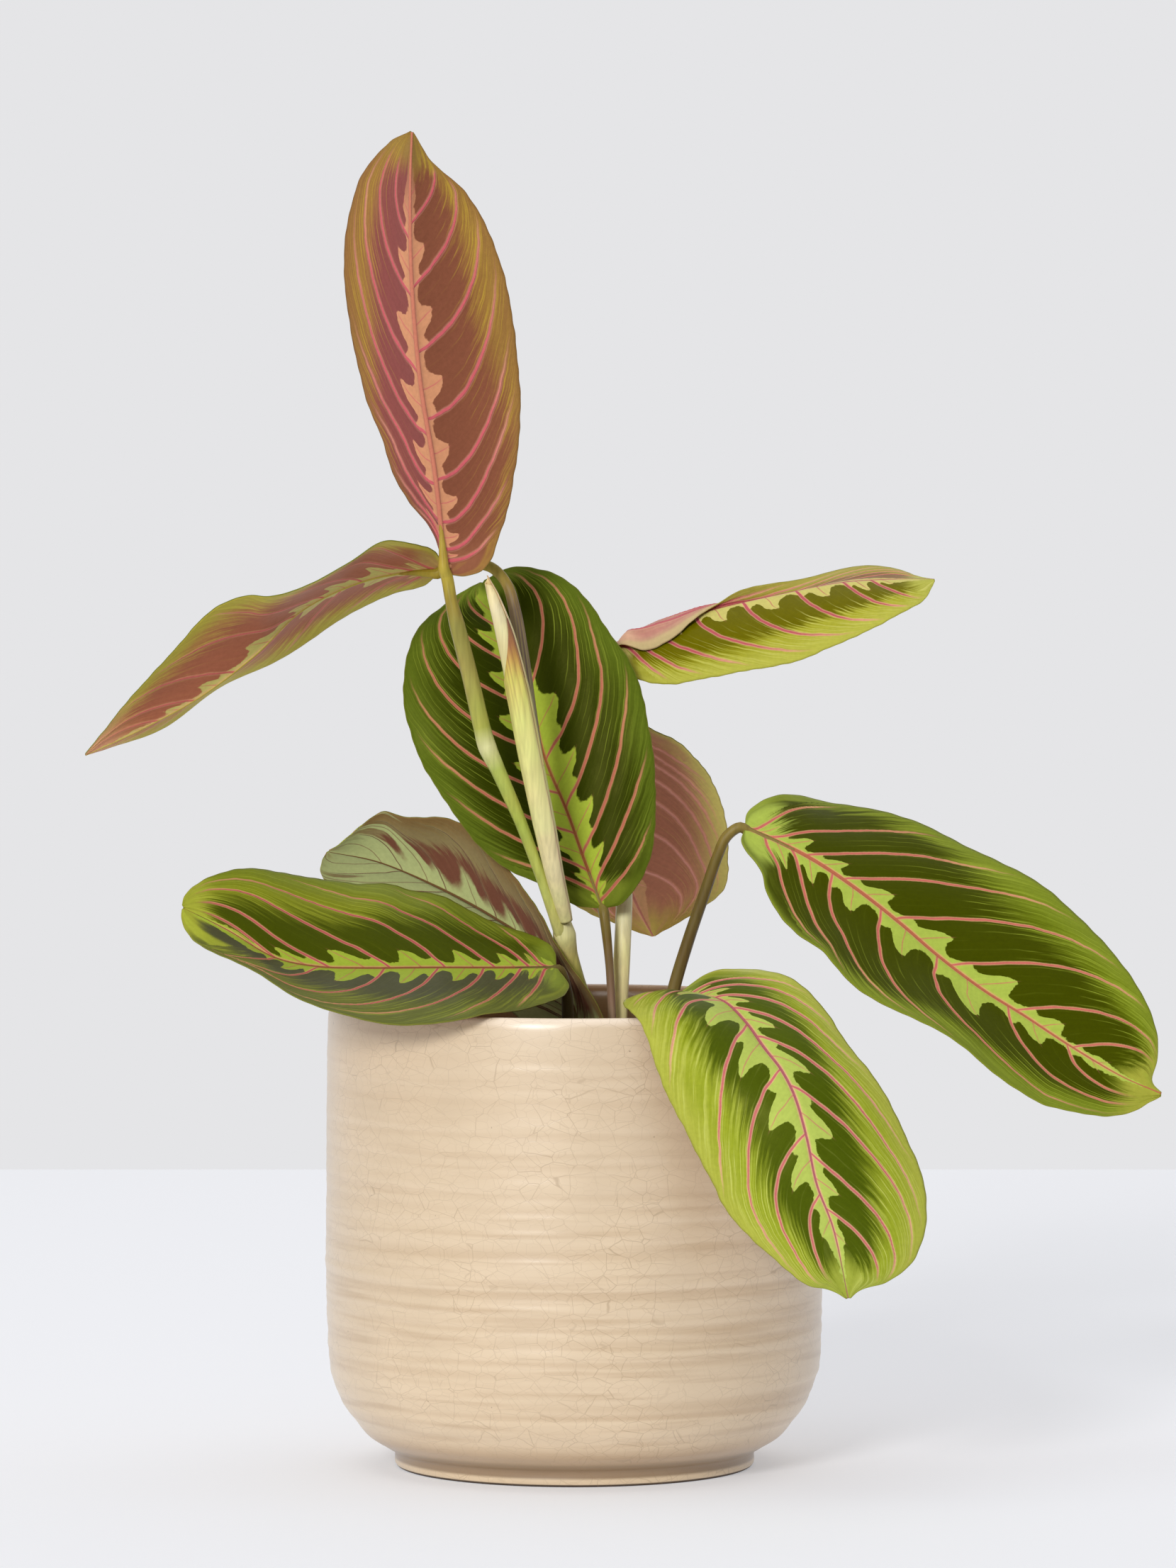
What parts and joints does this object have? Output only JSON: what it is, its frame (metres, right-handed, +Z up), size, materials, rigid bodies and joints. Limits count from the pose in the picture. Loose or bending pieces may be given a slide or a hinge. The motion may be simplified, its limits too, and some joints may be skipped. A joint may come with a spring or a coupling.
{
  "type": "potted prayer plant",
  "caption": "Prayer plant with broad veined leaves on thin stems, standing in the soil of a round glazed stoneware pot with a narrow foot.",
  "frame": {"origin": "centre of the pot's flat foot, on the surface that it stands on", "axes": "+Z up along the pot's axis; +X to the right and +Y to the back of the plant, as it is seen with the lime leaf hanging over the front right of the rim"},
  "size_m": [0.3016, 0.1738, 0.3755],
  "materials": {
    "glaze": "gloss",
    "potting_soil": "matte",
    "stem": "satin",
    "new_leaf": "satin",
    "leaf_red": "satin",
    "leaf_green": "satin",
    "leaf_lime": "satin"
  },
  "bodies": {
    "root": {"pot": "glaze", "soil": "potting_soil", "stem_main": "stem", "stem_back": "stem", "petiole_centre": "stem", "petiole_left_low": "stem", "petiole_left_back": "stem", "petiole_front": "stem", "petiole_right": "stem", "rolled_leaf": "new_leaf", "leaf_upright": "leaf_red", "leaf_left_high": "leaf_red", "leaf_back": "leaf_red", "leaf_centre": "leaf_green", "leaf_left_low": "leaf_green", "leaf_left_back": "leaf_green", "leaf_right": "leaf_green", "leaf_right_high": "leaf_lime", "leaf_front": "leaf_lime"}
  },
  "joints": []
}
